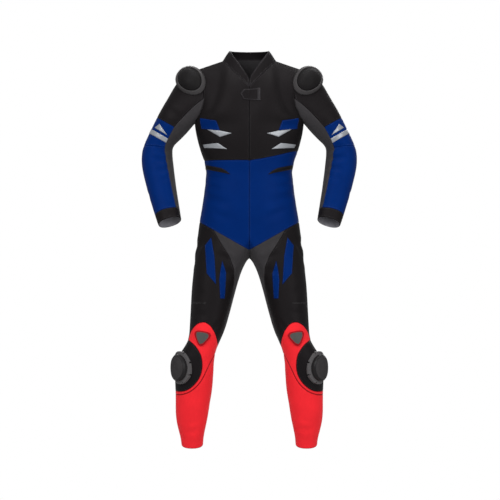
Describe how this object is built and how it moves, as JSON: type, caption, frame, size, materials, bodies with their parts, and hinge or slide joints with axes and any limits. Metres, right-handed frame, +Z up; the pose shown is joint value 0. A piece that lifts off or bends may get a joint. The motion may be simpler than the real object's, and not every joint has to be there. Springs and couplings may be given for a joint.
{
  "type": "motorcycle race suit",
  "caption": "One-piece leather motorcycle race suit, filled out and hollow, with open neck, cuffs and hems, shoulder cups and knee sliders.",
  "frame": {"origin": "between the shoulders, level with the foot of the collar, where the wearer's shoulders hold the suit", "axes": "+Z up, the front faces -Y, +X is the wearer's left"},
  "size_m": [0.776, 0.251, 1.4319],
  "materials": {
    "black_leather": "black cowhide, smooth grain, semi-matt",
    "blue_leather": "dark blue cowhide, smooth grain, semi-matt",
    "red_leather": "bright red cowhide, smooth grain, semi-matt",
    "silver_leather": "silver-grey coated leather, slight sheen",
    "stretch_cloth": "dark grey ribbed stretch cloth, matt",
    "black_plastic": "moulded black nylon and polyurethane",
    "grey_plastic": "moulded dark grey plastic",
    "zip_teeth": "moulded zip teeth on black tape"
  },
  "bodies": {
    "root": {"collar": "black_leather", "back_upper": "black_leather", "neck_tab": "black_leather", "left_chest": "black_leather", "right_chest": "black_leather", "left_thigh": "black_leather", "right_thigh": "black_leather", "left_seat": "black_leather", "right_seat": "black_leather", "left_knee_panel": "black_leather", "right_knee_panel": "black_leather", "left_sleeve_top": "black_leather", "right_sleeve_top": "black_leather", "left_cuff": "black_leather", "right_cuff": "black_leather", "left_waist_dart": "black_leather", "right_waist_dart": "black_leather", "back_lower": "blue_leather", "left_belly": "blue_leather", "right_belly": "blue_leather", "left_arm_band": "blue_leather", "right_arm_band": "blue_leather", "left_forearm": "blue_leather", "right_forearm": "blue_leather", "left_chest_flash": "blue_leather", "right_chest_flash": "blue_leather", "left_thigh_flash": "blue_leather", "right_thigh_flash": "blue_leather", "left_thigh_dart": "blue_leather", "right_thigh_dart": "blue_leather", "left_knee_frame": "red_leather", "right_knee_frame": "red_leather", "left_shin": "red_leather", "right_shin": "red_leather", "left_calf": "red_leather", "right_calf": "red_leather", "left_chest_dart": "silver_leather", "right_chest_dart": "silver_leather", "left_rib_dart": "silver_leather", "right_rib_dart": "silver_leather", "left_sleeve_stripe": "silver_leather", "right_sleeve_stripe": "silver_leather", "left_sleeve_dart": "silver_leather", "right_sleeve_dart": "silver_leather", "left_gusset": "stretch_cloth", "right_gusset": "stretch_cloth", "left_sleeve_strip": "stretch_cloth", "right_sleeve_strip": "stretch_cloth", "left_shoulder_cup": "black_plastic", "right_shoulder_cup": "black_plastic", "left_knee_slider": "black_plastic", "right_knee_slider": "black_plastic", "left_shoulder_ring": "grey_plastic", "right_shoulder_ring": "grey_plastic", "left_slider_backing": "grey_plastic", "right_slider_backing": "grey_plastic", "left_knee_badge": "grey_plastic", "right_knee_badge": "grey_plastic", "front_zip": "zip_teeth"}
  },
  "joints": []
}
